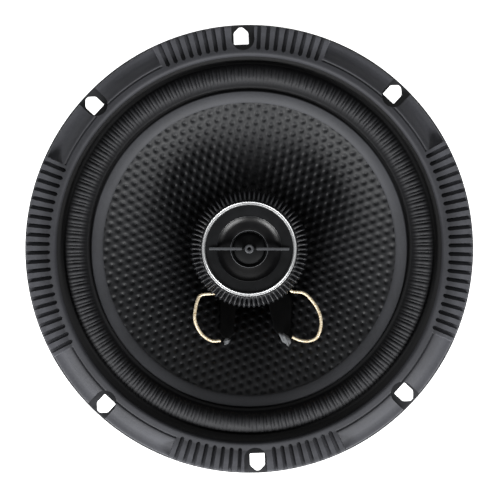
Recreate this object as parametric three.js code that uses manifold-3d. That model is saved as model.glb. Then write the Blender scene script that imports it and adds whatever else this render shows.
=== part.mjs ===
// Coaxial car speaker of the 165 mm class: a pressed steel basket, a ferrite motor, a textured
// cone on a ribbed rubber surround, and a horn tweeter that stands on a post at the centre.
// Millimetres. +Z points at the listener, and the origin is the centre of the motor's rear face.

import * as THREE from 'three';
import { mergeVertices } from 'three/addons/utils/BufferGeometryUtils.js';
import Module from 'manifold-3d';

const wasm = await Module();
wasm.setup();

// ---- Driving dimensions -------------------------------------------------------------------

const flangeRadius = 83;
const mountingDepth = 56;
const sheetSteel = 1.2;
const flangeTop = mountingDepth + sheetSteel;
const glueGap = 0.15;

const magnetRadius = 45;
const plateRadius = 40;
const plateThickness = 5;
const magnetTop = 20;
const motorTop = magnetTop + plateThickness;
const poleRadius = 11.9;
const poleTop = 26;
const gapRadius = 13.7;

const formerInner = 12.4;
const formerOuter = 12.65;
const windingOuter = 13.2;

const spiderLevel = 31;
const spiderOuter = 48.4;

const coneNeck = { radius: 12.85, height: 33.5 };
const coneRim = { radius: 58, height: 55.6 };
const paperThickness = 0.7;

const surroundInner = 54.3;
const rollInner = 59;
const rollOuter = 69.6;
const surroundOuter = 73;
const rollCrest = 61.2;

const gasketInner = 71.2;
const gasketOuter = 81.8;
const gasketTop = 62.1;
const lipHeight = 59;
const ribPitch = 2.4;
const sideRibs = 22;
const endRibs = 8;
const slotCircle = 78.4;
const slotWidth = 5.9;
const slotLength = 7.5;
const slotAngles = [45, 90, 135, 225, 270, 315];

const spokeCount = 6;
const spokeWidth = 14;

const tweeterTurn = -2.4;
const tweeterFloor = 50.3;
const tweeterSeat = 59;
const faceRadius = 16.1;
const faceHeight = 62.2;
const domeRadius = 6.85;
const domeBase = 58.5;
const domeHeight = 2.2;

const leadRadius = 0.6;
const eyelets = { left: [-9.7, -33.9], right: [12.3, -34.1] };

const largeRound = 48;
const smallRound = 32;

// ---- Geometry helpers ---------------------------------------------------------------------

const radians = THREE.MathUtils.degToRad;

// A closed three.js geometry as a manifold solid with shared corners.
function solidOf(geometry) {
  const bare = geometry.clone();
  bare.deleteAttribute('normal');
  bare.deleteAttribute('uv');
  const merged = mergeVertices(bare, 1e-4);
  const corners = merged.index.array;
  const triangles = [];
  for (let i = 0; i < corners.length; i += 3) {
    const [a, b, c] = corners.slice(i, i + 3);
    if (a !== b && b !== c && c !== a) triangles.push(a, b, c);
  }
  return new wasm.Manifold(new wasm.Mesh({
    numProp: 3,
    vertProperties: merged.attributes.position.array,
    triVerts: new Uint32Array(triangles),
  }));
}

// A manifold solid as a flat-shaded three.js geometry.
function geometryOf(solid) {
  const mesh = solid.getMesh();
  const indexed = new THREE.BufferGeometry();
  indexed.setAttribute('position', new THREE.BufferAttribute(mesh.vertProperties, 3));
  indexed.setIndex(new THREE.BufferAttribute(mesh.triVerts, 1));
  const geometry = indexed.toNonIndexed();
  geometry.computeVertexNormals();
  return geometry;
}

// A turned solid about Z. The profile is a list of [radius, height], anticlockwise with the
// radius to the right; it is closed here unless both of its ends stand on the axis.
function turned(profile, segments = largeRound) {
  const points = profile.map(([radius, height]) => new THREE.Vector2(radius, height));
  const onAxis = profile[0][0] === 0 && profile[profile.length - 1][0] === 0;
  if (!onAxis) points.push(points[0].clone());
  const geometry = new THREE.LatheGeometry(points, segments);
  geometry.rotateX(Math.PI / 2);
  return solidOf(geometry);
}

// A round bar or disc between two heights, centred on x, y.
function cylinder(radius, low, high, x = 0, y = 0, segments = smallRound) {
  const geometry = new THREE.CylinderGeometry(radius, radius, high - low, segments);
  geometry.rotateX(Math.PI / 2);
  geometry.translate(x, y, (low + high) / 2);
  return solidOf(geometry);
}

// A block from its low corner to its high corner.
function block(low, high) {
  const size = high.map((value, axis) => value - low[axis]);
  const centre = high.map((value, axis) => (value + low[axis]) / 2);
  const geometry = new THREE.BoxGeometry(...size);
  geometry.translate(...centre);
  return solidOf(geometry);
}

// An outline in the XY plane, raised from low to high.
function raised(outline, low, high, curveSegments = 6) {
  const geometry = new THREE.ExtrudeGeometry(outline, {
    depth: high - low,
    bevelEnabled: false,
    curveSegments,
  });
  geometry.translate(0, 0, low);
  return solidOf(geometry);
}

// Points of an arc in a turned profile, from one angle to another, in degrees.
function arc(radius, height, reach, from, to, steps) {
  const points = [];
  for (let step = 0; step <= steps; step++) {
    const angle = radians(from + ((to - from) * step) / steps);
    points.push([radius + reach * Math.cos(angle), height + reach * Math.sin(angle)]);
  }
  return points;
}

function spun(solid, degrees) {
  return solid.rotate([0, 0, degrees]);
}

function joined(solids) {
  return solids.reduce((whole, solid) => whole.add(solid));
}

function cutAll(solid, tools) {
  return solid.subtract(joined(tools));
}

// A slot with round ends, long along X, centred at a radius on the +X side.
function slotOutline(centre, length, width) {
  const half = length / 2 - width / 2;
  const end = width / 2;
  const outline = new THREE.Shape();
  outline.absarc(centre + half, 0, end, -Math.PI / 2, Math.PI / 2, false);
  outline.absarc(centre - half, 0, end, Math.PI / 2, Math.PI * 1.5, false);
  outline.closePath();
  return outline;
}

// A wedge of the whole disc, symmetric about +X.
function wedge(halfAngle, low, high) {
  const reach = flangeRadius * 1.3;
  const half = radians(halfAngle);
  const outline = new THREE.Shape();
  outline.moveTo(0, 0);
  outline.lineTo(reach * Math.cos(half), -reach * Math.sin(half));
  outline.lineTo(reach * 1.05, 0);
  outline.lineTo(reach * Math.cos(half), reach * Math.sin(half));
  outline.closePath();
  return raised(outline, low, high);
}

// A round wire through the given points.
function wire(points, radius) {
  const sides = 8;
  const section = new THREE.Shape();
  for (let side = 0; side < sides; side++) {
    const angle = (side * 2 * Math.PI) / sides;
    const [x, y] = [radius * Math.cos(angle), radius * Math.sin(angle)];
    if (side === 0) section.moveTo(x, y);
    else section.lineTo(x, y);
  }
  section.closePath();
  const path = new THREE.CatmullRomCurve3(points.map((point) => new THREE.Vector3(...point)));
  const steps = Math.round(path.getLength() / (radius * 4));
  return solidOf(new THREE.ExtrudeGeometry(section, {
    steps,
    extrudePath: path,
    bevelEnabled: false,
  }));
}

// ---- Materials ----------------------------------------------------------------------------

function finish(color, roughness, metalness = 0) {
  return new THREE.MeshStandardMaterial({ color, roughness, metalness });
}

const finishes = {
  blackPaint: finish('#1b1c1f', 0.45, 0.2),
  ferrite: finish('#2a2a2c', 0.85),
  zincPlate: finish('#8d9093', 0.4, 0.9),
  brass: finish('#b9933f', 0.35, 0.9),
  copperWire: finish('#8c4a26', 0.4, 0.8),
  kapton: finish('#9c6a2c', 0.4),
  trimRubber: finish('#2e2f33', 0.6),
  surroundRubber: finish('#26272b', 0.55),
  cloth: finish('#b39a5c', 0.95),
  conePolypropylene: finish('#232427', 0.5),
  adhesive: finish('#141416', 0.3),
  solder: finish('#6e7074', 0.35, 0.7),
  board: finish('#3a2c20', 0.8),
  blackPlastic: finish('#17181a', 0.35),
  glossPlastic: finish('#0c0c0e', 0.1),
  aluminium: finish('#d5d7da', 0.18, 1),
  domeFilm: finish('#1a1a1c', 0.25),
  neodymium: finish('#a0a3a8', 0.3, 0.9),
  capacitorSleeve: finish('#28324a', 0.5),
  goldBraid: finish('#cdb077', 0.5, 0.4),
};

const speaker = new THREE.Group();

function add(name, solid, material, parent = speaker) {
  const mesh = new THREE.Mesh(geometryOf(solid), material);
  mesh.name = name;
  parent.add(mesh);
  return mesh;
}

// ---- Motor: T-yoke, ferrite ring, top plate -----------------------------------------------

const screwHole = 2.4;
const headRecess = { radius: 5, depth: 3.6 };

const yokeBlank = turned([
  [0, 0], [plateRadius - 0.8, 0], [plateRadius, 0.8], [plateRadius, plateThickness],
  [poleRadius, plateThickness], [poleRadius, poleTop], [0, poleTop],
]);
add('t_yoke', cutAll(yokeBlank, [
  cylinder(screwHole, -1, poleTop + 1),
  cylinder(headRecess.radius, -1, headRecess.depth),
]), finishes.zincPlate);

const magnetBore = 20;
const magnetChamfer = 1;
add('magnet', turned([
  [magnetBore, plateThickness + glueGap],
  [magnetRadius - magnetChamfer, plateThickness + glueGap],
  [magnetRadius, plateThickness + glueGap + magnetChamfer],
  [magnetRadius, magnetTop - glueGap - magnetChamfer],
  [magnetRadius - magnetChamfer, magnetTop - glueGap],
  [magnetBore, magnetTop - glueGap],
]), finishes.ferrite);

const rivetCircle = 32;
const rivetHole = 2.3;
const rivetAngles = [45, 135, 225, 315];
const rivetPlaces = rivetAngles.map((angle) => [
  rivetCircle * Math.cos(radians(angle)),
  rivetCircle * Math.sin(radians(angle)),
]);
const rivetHoles = rivetPlaces.map(([x, y]) => cylinder(rivetHole, 0, flangeTop, x, y, 12));

add('top_plate', cutAll(turned([
  [gapRadius, magnetTop], [plateRadius, magnetTop],
  [plateRadius, motorTop], [gapRadius, motorTop],
]), rivetHoles), finishes.zincPlate);

// ---- Basket: one stamping with six spokes, a spider shelf and a terminal ear --------------

const seat = motorTop + 0.1;
const shelfTop = spiderLevel - 0.2;
const shelfUnder = shelfTop - sheetSteel;
const basketBlank = turned([
  [24, seat], [41, seat], [43.3, seat + 1.1], [44.2, shelfUnder], [50.2, shelfUnder],
  [51.6, shelfUnder + 0.9], [56.2, 36.6], [65.6, 47.1], [68.9, 54.4], [69.8, mountingDepth],
  [flangeRadius, mountingDepth], [flangeRadius, flangeTop], [69.1, flangeTop],
  [67.7, 54.8], [64.5, 47.9], [55.1, 37.4], [50.7, shelfTop + 0.7], [49.6, shelfTop],
  [43.2, shelfTop], [42.2, seat + 2], [40.6, seat + sheetSteel], [24, seat + sheetSteel],
]);

// Each window runs up the sloping wall between two spokes of constant width.
const windowInner = 51.3;
const windowOuter = 67;
function basketWindow() {
  const half = radians(180 / spokeCount);
  const corner = (radius) => new THREE.Vector2(
    radius * Math.cos(half) + (spokeWidth / 2) * Math.sin(half),
    radius * Math.sin(half) - (spokeWidth / 2) * Math.cos(half),
  );
  const near = corner(windowInner);
  const far = corner(windowOuter);
  const outline = new THREE.Shape();
  outline.moveTo(near.x, -near.y);
  outline.lineTo(far.x, -far.y);
  outline.absarc(0, 0, far.length(), -Math.atan2(far.y, far.x), Math.atan2(far.y, far.x), false);
  outline.lineTo(near.x, near.y);
  outline.absarc(0, 0, near.length(), Math.atan2(near.y, near.x), -Math.atan2(near.y, near.x), true);
  outline.closePath();
  return raised(outline, shelfUnder - 1, mountingDepth - 3);
}
const windows = [];
for (let index = 0; index < spokeCount; index++) {
  windows.push(spun(basketWindow(), (360 / spokeCount) * index));
}

const flangeSlots = slotAngles.map((angle) => (
  spun(raised(slotOutline(slotCircle, slotLength, slotWidth), mountingDepth - 2, gasketTop + 1), angle)
));

// The ear lies level with the shelf under the -Y spoke and carries the terminal board.
const earHalfWidth = 6;
const earEnd = -61;
const earRivetHole = 1.35;
const earRivets = [-4, 4].map((x) => [x, -56.5]);
const ear = block([-earHalfWidth, earEnd, shelfUnder], [earHalfWidth, -48, shelfTop]);
const earHoles = earRivets.map(([x, y]) => cylinder(earRivetHole, 20, 36, x, y, 12));

add('basket', cutAll(
  cutAll(basketBlank, [...windows, ...flangeSlots, ...rivetHoles]).add(ear),
  earHoles,
), finishes.blackPaint);

rivetPlaces.forEach(([x, y], index) => {
  const headUnder = seat + sheetSteel + glueGap;
  const headTop = headUnder + 1.5;
  const shank = cylinder(rivetHole - 0.3, magnetTop + 0.3, headUnder + 0.2, x, y, 12);
  const head = turned([[0, headUnder], [3.5, headUnder], [3.2, headTop - 0.5], [2.2, headTop],
    [0, headTop]], 12).translate([x, y, 0]);
  add(`basket_rivet_${index + 1}`, shank.add(head), finishes.zincPlate);
});

// ---- Terminal board and its two push-on tabs ----------------------------------------------

const boardTop = shelfUnder - 0.1;
const boardThickness = 1.6;
const boardUnder = boardTop - boardThickness;
const boardRear = earEnd - 1;
const boardFront = -52.6;
add('terminal_board', cutAll(
  block([-15, boardRear, boardUnder], [15, boardFront, boardTop]),
  earHoles,
), finishes.board);

earRivets.forEach(([x, y], index) => {
  const shank = cylinder(earRivetHole - 0.25, boardUnder - 0.9, shelfTop + 0.2, x, y, 12);
  const head = cylinder(2, shelfTop + 0.1, shelfTop + 1, x, y, 12);
  const tail = cylinder(1.9, boardUnder - 1, boardUnder - 0.1, x, y, 12);
  add(`terminal_rivet_${index + 1}`, joined([shank, head, tail]), finishes.zincPlate);
});

// A blade that lies under the board and turns up in front of it as a solder hook.
const tabThickness = 0.8;
const tabTip = -72;
const tabCorner = 1.5;
const hookFront = boardFront + 0.3;
const hookTop = 34.4;
const hookHalfWidth = 1.3;
const tabTop = boardUnder - 0.1;
function tab(name, x, width) {
  const half = width / 2;
  const under = tabTop - tabThickness;
  const outline = new THREE.Shape();
  outline.moveTo(x - half, hookFront);
  outline.lineTo(x - half, tabTip + tabCorner);
  outline.lineTo(x - half + tabCorner, tabTip);
  outline.lineTo(x + half - tabCorner, tabTip);
  outline.lineTo(x + half, tabTip + tabCorner);
  outline.lineTo(x + half, hookFront);
  outline.closePath();
  const blade = raised(outline, under, tabTop);
  const latchHole = cylinder(0.9, under - 1, tabTop + 1, x, tabTip + 4.5, 12);
  const hook = block(
    [x - hookHalfWidth, hookFront - 0.02, under],
    [x + hookHalfWidth, hookFront + tabThickness, hookTop],
  );
  add(name, blade.subtract(latchHole).add(hook), finishes.brass);
}
const tabSpread = 11;
tab('terminal_tab_positive', tabSpread, 6.3);
tab('terminal_tab_negative', -tabSpread, 4.8);

// ---- Voice coil, cone and spider ----------------------------------------------------------

const coneSlope = (coneRim.height - coneNeck.height) / (coneRim.radius - coneNeck.radius);
function coneHeight(radius) {
  return coneNeck.height + (radius - coneNeck.radius) * coneSlope;
}

add('voice_coil_former', turned([
  [formerInner, 15.5], [formerOuter, 15.5], [formerOuter, 37], [formerInner, 37],
]), finishes.kapton);
add('voice_coil_winding', turned([
  [formerOuter + 0.1, 17], [windingOuter, 17], [windingOuter, 28], [formerOuter + 0.1, 28],
]), finishes.copperWire);

const cone = turned([
  [coneNeck.radius, coneNeck.height], [coneNeck.radius + 1, coneNeck.height - 0.2],
  [34, coneHeight(34) - paperThickness], [coneRim.radius, coneRim.height - paperThickness],
  [coneRim.radius, coneRim.height], [34, coneHeight(34)],
  [coneNeck.radius + 1.4, coneHeight(coneNeck.radius + 1.4)], [coneNeck.radius, coneNeck.height + 2],
]);
const eyeletHole = 1.3;
const eyeletHoles = Object.values(eyelets).map(([x, y]) => cylinder(eyeletHole, 30, 60, x, y, 12));
add('cone', cutAll(cone, eyeletHoles), finishes.conePolypropylene);

// Spider: a flat rim on the shelf, five rolls, and a cuff on the former.
const spiderRim = 41.2;
const spiderCuff = 15;
const spiderRolls = 4;
const spiderThickness = 0.6;
function spiderProfile(offset) {
  const points = [];
  const steps = spiderRolls * 4;
  for (let step = 0; step <= steps; step++) {
    const share = step / steps;
    const radius = spiderCuff + (spiderRim - spiderCuff) * share;
    const wave = Math.sin(share * spiderRolls * 2 * Math.PI) * 1.1;
    points.push([radius, spiderLevel + offset + wave]);
  }
  return points;
}
add('spider', turned([
  [formerOuter + 0.15, spiderLevel],
  ...spiderProfile(0),
  [spiderOuter, spiderLevel], [spiderOuter, spiderLevel + spiderThickness],
  ...spiderProfile(spiderThickness).reverse(),
  [formerOuter + 0.15, spiderLevel + 1.2],
], smallRound), finishes.cloth);

// Eyelets and the adhesive strips that cover the coil's lead-outs along the cone.
Object.entries(eyelets).forEach(([side, [x, y]]) => {
  const surface = coneHeight(Math.hypot(x, y));
  const pin = cylinder(eyeletHole - 0.25, surface - 2.6, surface + 1.6, x, y, 12);
  const cap = cylinder(1.9, surface + 1.1, surface + 1.8, x, y, 12);
  add(`eyelet_${side}`, pin.add(cap), finishes.solder);
});

Object.entries(eyelets).forEach(([side, [x, y]]) => {
  const angle = THREE.MathUtils.radToDeg(Math.atan2(y, x));
  const start = 15.5;
  const end = Math.hypot(x, y) - 2.4;
  const halfWidth = 2;
  const lift = 0.25;
  const profile = new THREE.Shape();
  profile.moveTo(start, coneHeight(start) + lift);
  profile.lineTo(end, coneHeight(end) + lift);
  profile.lineTo(end, coneHeight(end) + lift + 0.7);
  profile.lineTo(start, coneHeight(start) + lift + 0.7);
  profile.closePath();
  const strip = new THREE.ExtrudeGeometry(profile, { depth: 2 * halfWidth, bevelEnabled: false });
  strip.translate(0, 0, -halfWidth);
  strip.rotateX(Math.PI / 2);
  add(`glue_strip_${side}`, spun(solidOf(strip), angle), finishes.adhesive);
});

// ---- Surround: landing on the cone, half roll, flange on the basket -----------------------

const rubber = 0.8;
const landingLift = 0.12;
const rollMiddle = (rollInner + rollOuter) / 2;
function rollTop(share) {
  const radius = rollInner + (rollOuter - rollInner) * share;
  const foot = THREE.MathUtils.lerp(coneRim.height + 0.9, flangeTop + 0.9, share);
  const level = foot + (rollCrest - flangeTop - 0.4) * Math.sin(Math.PI * share) ** 0.75;
  return [radius, level];
}
function rollUnder(share) {
  const [radius, level] = rollTop(share);
  const inward = (rollMiddle - radius) / (rollOuter - rollInner);
  return [radius + inward * rubber, level - rubber];
}
const rollShares = [0, 0.1, 0.25, 0.42, 0.58, 0.75, 0.9, 1];
add('surround', turned([
  [surroundInner, coneHeight(surroundInner) + landingLift],
  [coneRim.radius, coneHeight(coneRim.radius) + landingLift],
  ...rollShares.map(rollUnder),
  [rollOuter + 0.4, flangeTop + 0.1], [surroundOuter, flangeTop + 0.1],
  [surroundOuter, flangeTop + 0.9],
  ...rollShares.map(rollTop).reverse(),
  [coneRim.radius + 0.3, coneHeight(coneRim.radius) + landingLift + rubber],
  [surroundInner, coneHeight(surroundInner) + landingLift + 0.6],
]), finishes.surroundRubber);

// ---- Front gasket: ribbed at the sides and ends, plain pads between, six slots ------------

const gasketUnder = flangeTop + 0.15;
const rebate = [[surroundOuter + 0.3, gasketUnder], [surroundOuter + 0.3, flangeTop + 1.1],
  [gasketInner, flangeTop + 1.1]];
const innerLip = arc(gasketInner + 1.3, gasketTop - 1.3, 1.3, 90, 180, 3);
const ribbedRing = turned([
  [gasketOuter, gasketUnder], [gasketOuter, gasketTop - 0.8], [gasketOuter - 0.8, gasketTop],
  ...innerLip, ...rebate.slice().reverse(),
]);
// What is pared away above a plain pad: a fine valley behind the rim, then an S-curve down
// from the pad's crest to the flat outer lip.
const padCutter = turned([
  [gasketOuter + 1, lipHeight], [gasketOuter + 1, gasketTop + 1], [74.1, gasketTop + 1],
  [74.1, gasketTop - 0.02], [74.7, gasketTop - 0.5], [75.3, gasketTop - 0.05],
  [77.4, gasketTop - 0.7], [79, lipHeight + 0.9], [80.6, lipHeight],
]);
const sideHalf = ribPitch * (sideRibs / 2 + 0.15);
const endHalf = ribPitch * (endRibs + 1.75);
const tall = [gasketUnder - 5, gasketTop + 5];
const ribbedSectors = joined([
  wedge(sideHalf, ...tall),
  spun(wedge(sideHalf, ...tall), 180),
  spun(wedge(endHalf, ...tall), 90),
  spun(wedge(endHalf, ...tall), 270),
]);
const grooveWidth = 1.5;
const grooveFloor = lipHeight;
function groove(angle) {
  const cut = block([73.6, -grooveWidth / 2, grooveFloor], [90, grooveWidth / 2, gasketTop + 2]);
  return spun(cut, angle);
}
const grooves = [];
for (const side of [0, 180]) {
  for (let index = 0; index < sideRibs; index++) {
    grooves.push(groove(side + (index - (sideRibs - 1) / 2) * ribPitch));
  }
}
for (const end of [90, 270]) {
  for (let index = 0; index < endRibs; index++) {
    const away = (index + 2) * ribPitch;
    grooves.push(groove(end + away), groove(end - away));
  }
}
// Each slot stands in a shallow U-shaped recess that is open to the rim.
const recessWidth = 8.4;
const recesses = slotAngles.map((angle) => {
  const outline = new THREE.Shape();
  const end = recessWidth / 2;
  outline.absarc(slotCircle - 0.6, 0, end, Math.PI / 2, Math.PI * 1.5, false);
  outline.lineTo(flangeRadius + 2, -end);
  outline.lineTo(flangeRadius + 2, end);
  outline.closePath();
  return spun(raised(outline, lipHeight - 0.6, gasketTop + 1, 10), angle);
});
add('front_gasket', cutAll(
  ribbedRing,
  [padCutter.subtract(ribbedSectors), ...grooves, ...recesses, ...flangeSlots],
), finishes.trimRubber);

// ---- Tweeter on its post ------------------------------------------------------------------

const postTop = 52;
const postBore = 2.35;
add('tweeter_post', cutAll(turned([
  [0, poleTop + glueGap], [9.5, poleTop + glueGap], [9.5, 28], [6.5, 29.5], [5, 32],
  [5, postTop], [0, postTop],
], smallRound), [cylinder(postBore, 20, 42)]), finishes.blackPlastic);

const screwHead = { radius: 4.2, low: 0.4, high: headRecess.depth - 0.2 };
const screw = cylinder(2, screwHead.high - 0.2, 40, 0, 0, 20)
  .add(cylinder(screwHead.radius, screwHead.low, screwHead.high, 0, 0, 20));
const crossArm = { long: 2.2, thin: 0.45, deep: 1.8 };
const crossSlot = joined([
  block([-crossArm.long, -crossArm.thin, -1], [crossArm.long, crossArm.thin, crossArm.deep]),
  block([-crossArm.thin, -crossArm.long, -1], [crossArm.thin, crossArm.long, crossArm.deep]),
]);
add('tweeter_post_screw', screw.subtract(crossSlot), finishes.zincPlate);

const tweeter = new THREE.Group();
tweeter.rotation.z = radians(tweeterTurn);
speaker.add(tweeter);

add('tweeter_base', turned([
  [5.3, tweeterFloor], [13.6, tweeterFloor], [15, tweeterFloor + 1.4], [15, tweeterSeat - 0.3],
  [13.9, tweeterSeat - 0.3], [13.9, postTop + 0.1], [5.3, postTop + 0.1],
], smallRound), finishes.blackPlastic, tweeter);

const potFloor = postTop + 0.3;
const potTop = 58.2;
const potOuter = 9.4;
add('tweeter_yoke', turned([
  [0, potFloor], [potOuter, potFloor], [potOuter, potTop], [7.35, potTop],
  [7.35, potFloor + 1.3], [0, potFloor + 1.3],
], smallRound), finishes.zincPlate, tweeter);
add('tweeter_magnet', cylinder(6, potFloor + 1.4, 56.4), finishes.neodymium, tweeter);
add('tweeter_pole_plate', cylinder(6.25, 56.5, 58), finishes.zincPlate, tweeter);
add('tweeter_capacitor', cylinder(2, potFloor, 57.8, 0, 11.65, 20), finishes.capacitorSleeve, tweeter);

add('tweeter_dome', turned([
  [0, domeBase + domeHeight - 0.3], [3.4, domeBase + domeHeight - 0.85],
  [5.6, domeBase + domeHeight - 1.75], [6.35, domeBase], [domeRadius, domeBase],
  [6.6, domeBase + 0.35], [5.8, domeBase + domeHeight - 1.2],
  [3.5, domeBase + domeHeight - 0.4], [0, domeBase + domeHeight],
], smallRound), finishes.domeFilm, tweeter);
add('tweeter_voice_coil', turned([
  [6.5, 56.2], [6.9, 56.2], [6.9, domeBase - 0.1], [6.5, domeBase - 0.1],
], smallRound), finishes.copperWire, tweeter);
add('tweeter_diaphragm_ring', turned([
  [7.25, 58.35], [9.4, 58.35], [9.4, 58.85], [7.25, 58.85],
], smallRound), finishes.blackPlastic, tweeter);

// Horn face: a shallow flare down to the dome, crossed by a bar with a small hub.
const hornMouth = 12;
const face = turned([
  [7.3, tweeterSeat], [faceRadius, tweeterSeat], [faceRadius, faceHeight - 0.3],
  [faceRadius - 0.4, faceHeight], [hornMouth + 0.5, faceHeight], [hornMouth, faceHeight - 0.4],
  [10.4, 60.7], [8.8, 59.8], [7.3, 59.4],
], smallRound);
const barTop = faceHeight + 1.1;
const bar = block([-14.8, -0.55, faceHeight - 0.3], [14.8, 0.55, barTop]);
const hub = cylinder(1.7, 61.5, barTop + 0.3, 0, 0, 20);
const hubHole = cylinder(0.6, barTop - 0.6, barTop + 2, 0, 0, 12);
add('tweeter_face', joined([face, bar, hub]).subtract(hubHole), finishes.glossPlastic, tweeter);

add('tweeter_trim_ring', turned([
  [faceRadius + 0.2, tweeterSeat], [17.6, tweeterSeat],
  ...arc(16.95, faceHeight + 0.3, 0.65, 0, 180, 4),
], smallRound), finishes.aluminium, tweeter);

add('tweeter_fluted_collar', turned([
  [15.3, 57.4], [17.3, 57.4], [20.3, 53.2], [21.4, 53.2], [21.4, 54], [18.4, 62.2],
  [17.8, 62.2], [17.8, 58.7], [15.3, 58.7],
], smallRound), finishes.blackPlastic, tweeter);

// ---- Leads --------------------------------------------------------------------------------

// Tweeter leads rise from the cone's eyelets, loop outwards over the cone and end at the lugs
// under the tweeter. Their middles lie in the air above the cone.
const leadRoutes = {
  left: [
    [-9.2, -13.6, 48.8], [-11.2, -15.8, 48.8], [-14.6, -16.1, 49.0], [-18.4, -16.4, 49.4],
    [-19.9, -18.2, 49.7], [-20.9, -21.6, 50.1], [-21.3, -25.4, 50.2], [-20.2, -29.0, 49.8],
    [-18.2, -31.9, 49.0], [-15.2, -33.8, 47.9], [-12.2, -33.9, 46.8],
  ],
  right: [
    [11.4, -12.2, 48.8], [13.6, -14.6, 48.8], [15.5, -16.4, 49.0], [19.1, -17.0, 49.4],
    [21.4, -18.6, 49.7], [24.1, -22.3, 50.1], [25.5, -26.0, 50.3], [25.6, -30.0, 50.1],
    [24.0, -33.9, 49.4], [21.1, -35.2, 48.6], [17.9, -34.9, 47.8], [14.9, -33.6, 47.1],
  ],
};
Object.entries(leadRoutes).forEach(([side, route]) => {
  add(`tweeter_lead_${side}`, wire(route, leadRadius), finishes.goldBraid);
});

// Woofer leads loop sideways behind the cone, between the terminal hooks and the eyelets.
const rearRoutes = {
  left: [
    [-11, -50.2, 33.8], [-13, -50.4, 35.6], [-16, -49.4, 37.6], [-19, -47, 38.6],
    [-20.6, -43.5, 38.6], [-20.2, -39.9, 38.1], [-17.6, -36.9, 37.9], [-14.1, -35.1, 38.3],
    [-11.2, -34.1, 39.6], [-9.7, -33.9, 41.3],
  ],
  right: [
    [11, -50.2, 33.8], [13.1, -50.3, 35.8], [16.4, -49.3, 37.9], [19.8, -47, 38.9],
    [21.8, -43.4, 38.8], [21.7, -39.5, 38.1], [19.4, -36.5, 37.9], [16.3, -34.9, 38.5],
    [13.6, -34.2, 39.8], [12.3, -34.1, 41.7],
  ],
};
Object.entries(rearRoutes).forEach(([side, route]) => {
  add(`woofer_lead_${side}`, wire(route, leadRadius), finishes.goldBraid);
});

// Solder lugs under the tweeter base, one for each lead.
Object.entries(leadRoutes).forEach(([side, [[x, y]]]) => {
  const angle = THREE.MathUtils.radToDeg(Math.atan2(y, x));
  const outer = Math.hypot(x, y) - 0.4;
  const lugTop = tweeterFloor - 0.15;
  const lug = block([7.5, -1.2, lugTop - 0.5], [outer + 1.2, 1.2, lugTop]);
  add(`tweeter_lug_${side}`, spun(lug, angle), finishes.brass);
});

export default speaker;
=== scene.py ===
import math

import bmesh
import bpy
from mathutils import Matrix, Vector


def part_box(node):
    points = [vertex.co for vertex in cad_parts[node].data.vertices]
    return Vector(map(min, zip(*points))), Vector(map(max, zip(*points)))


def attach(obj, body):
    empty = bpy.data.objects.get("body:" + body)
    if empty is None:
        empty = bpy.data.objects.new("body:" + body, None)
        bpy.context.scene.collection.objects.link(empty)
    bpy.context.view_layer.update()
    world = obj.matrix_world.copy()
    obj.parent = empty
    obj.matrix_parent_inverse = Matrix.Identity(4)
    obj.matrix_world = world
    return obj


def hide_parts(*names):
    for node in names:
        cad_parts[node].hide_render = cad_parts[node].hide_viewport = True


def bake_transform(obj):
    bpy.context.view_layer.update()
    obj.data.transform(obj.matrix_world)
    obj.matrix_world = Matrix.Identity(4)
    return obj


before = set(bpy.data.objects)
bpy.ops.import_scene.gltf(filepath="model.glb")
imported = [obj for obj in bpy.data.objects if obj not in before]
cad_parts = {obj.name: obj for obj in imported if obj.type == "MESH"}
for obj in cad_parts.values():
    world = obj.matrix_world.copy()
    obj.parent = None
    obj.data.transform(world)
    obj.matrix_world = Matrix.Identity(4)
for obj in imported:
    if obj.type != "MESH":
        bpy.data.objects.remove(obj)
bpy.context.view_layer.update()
MM = 0.001


# ---- Camera, floor and studio light --------------------------------------------------------
# The speaker lies on its magnet and is looked at straight along its axis, with the camera
# rolled a little. Two soft boxes stand low on the -Y side and a weak one fills from above.

FRAME_TURN = 2.2
VIEW_DISTANCE = 1.0
VIEW_WIDTH = 185.1 * MM
VIEW_CENTRE = (0.28 * MM, -0.24 * MM)
SENSOR = 36.0


def linear(hex_colour):
    """An sRGB hex colour as the linear RGBA that Blender's sockets take."""
    channels = [int(hex_colour[i:i + 2], 16) / 255 for i in (1, 3, 5)]
    return (*(c / 12.92 if c <= 0.04045 else ((c + 0.055) / 1.055) ** 2.4 for c in channels), 1.0)


def put(tree, kind, inputs=None, stops=(), **settings):
    """Adds a node with its settings. An input is a plain value or another node's socket, and a
    ramp's stops are (position, colour) pairs in order."""
    made = tree.nodes.new(kind)
    for name, value in settings.items():
        setattr(made, name, value)
    for key, value in (inputs or {}).items():
        if isinstance(value, bpy.types.NodeSocket):
            tree.links.new(value, made.inputs[key])
        else:
            made.inputs[key].default_value = value
    while stops and len(made.color_ramp.elements) < len(stops):
        made.color_ramp.elements.new(0.5)
    for index, (position, hex_colour) in enumerate(stops):
        made.color_ramp.elements[index].position = position
        made.color_ramp.elements[index].color = linear(hex_colour)
    return made


def shader(name, sockets):
    """A new material whose Principled shader has these socket values."""
    material = bpy.data.materials.new(name)
    material.use_nodes = True
    principled = material.node_tree.nodes["Principled BSDF"]
    for socket, value in sockets.items():
        principled.inputs[socket].default_value = value
    return material, material.node_tree, principled


scene = bpy.context.scene
scene.view_settings.view_transform = "Standard"

flange_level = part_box("basket")[1].z
camera_data = bpy.data.cameras.new("camera")
camera_data.sensor_width = SENSOR
camera_data.lens = SENSOR * VIEW_DISTANCE / VIEW_WIDTH
camera_data.clip_start = 0.01
camera = bpy.data.objects.new("camera", camera_data)
camera.location = (*VIEW_CENTRE, flange_level + VIEW_DISTANCE)
camera.rotation_euler = (0, 0, math.radians(-FRAME_TURN))
scene.collection.objects.link(camera)
scene.camera = camera

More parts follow.
